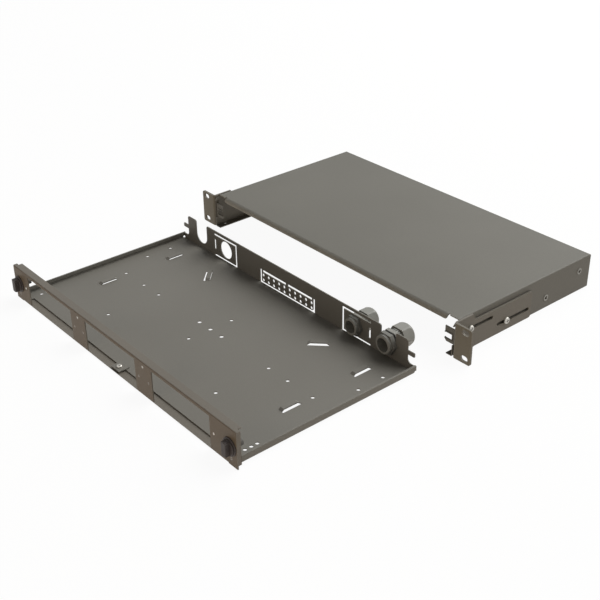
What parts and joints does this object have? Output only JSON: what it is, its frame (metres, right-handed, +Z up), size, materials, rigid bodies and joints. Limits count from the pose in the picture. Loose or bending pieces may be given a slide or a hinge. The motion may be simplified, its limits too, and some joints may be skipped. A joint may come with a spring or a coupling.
{
  "type": "sliding fibre patch drawer",
  "caption": "Rack-mount drawer for fibre patching: a tray that slides out of a folded cover, with slotted ear brackets, adapter openings, quarter-turn latches and cable glands.",
  "frame": {"origin": "centre of the four rack ear holes, on the ears' front face", "axes": "+X to the right seen from the front, +Y back into the rack along the slide, +Z up"},
  "size_m": [0.4826, 0.536, 0.0436],
  "materials": {
    "cover_paint": "fine textured powder coat, warm grey",
    "tray_paint": "fine textured powder coat, warm grey",
    "panel_paint": "fine textured powder coat, warm grey",
    "bracket_paint": "fine textured powder coat, warm grey",
    "plated_steel": "bright zinc plate",
    "dark_steel": "black zinc plate",
    "latch_plastic": "moulded, fine matt texture",
    "gland_plastic": "moulded nylon, soft sheen",
    "seal_rubber": "matt black"
  },
  "bodies": {
    "housing": {"housing_cover": "cover_paint", "left_press_nuts": "plated_steel", "right_press_nuts": "plated_steel", "left_ear_bracket": "bracket_paint", "right_ear_bracket": "bracket_paint", "left_bracket_screws": "plated_steel", "right_bracket_screws": "plated_steel"},
    "drawer": {"drawer_tray": "tray_paint", "front_panel": "panel_paint", "panel_press_nut": "plated_steel", "panel_screw": "plated_steel", "left_latch_bush": "latch_plastic", "left_latch_clip": "dark_steel", "right_latch_bush": "latch_plastic", "right_latch_clip": "dark_steel", "knockout_gland_body": "gland_plastic", "knockout_gland_gasket": "seal_rubber", "knockout_gland_locknut": "gland_plastic", "knockout_gland_seal": "seal_rubber", "notch_gland_body": "gland_plastic", "notch_gland_gasket": "seal_rubber", "notch_gland_locknut": "gland_plastic", "notch_gland_seal": "seal_rubber"},
    "left_latch": {"left_latch_knob": "latch_plastic", "left_latch_bar": "dark_steel", "left_latch_screw": "dark_steel"},
    "right_latch": {"right_latch_knob": "latch_plastic", "right_latch_bar": "dark_steel", "right_latch_screw": "dark_steel"},
    "knockout_dome_nut": {"knockout_gland_dome": "gland_plastic"},
    "notch_dome_nut": {"notch_gland_dome": "gland_plastic"}
  },
  "joints": [
    {"name": "drawer_slide", "type": "slide", "parent": "housing", "child": "drawer", "axis": [0, 1, 0], "range_m": [0, 0.2862]},
    {"name": "left_latch_turn", "type": "hinge", "parent": "drawer", "child": "left_latch", "pos_m": [-0.2068, -0.2915, -0.0003], "axis": [0, 1, 0], "range_deg": [-90, 0]},
    {"name": "right_latch_turn", "type": "hinge", "parent": "drawer", "child": "right_latch", "pos_m": [0.2068, -0.2915, -0.0003], "axis": [0, 1, 0], "range_deg": [0, 90]},
    {"name": "knockout_dome_turn", "type": "hinge", "parent": "drawer", "child": "knockout_dome_nut", "pos_m": [0.1192, -0.0331, -0.0036], "axis": [0, 1, 0], "range_deg": [0, 360]},
    {"name": "notch_dome_turn", "type": "hinge", "parent": "drawer", "child": "notch_dome_nut", "pos_m": [0.1713, -0.0311, -0.0018], "axis": [0, 1, 0], "range_deg": [0, 360]}
  ]
}
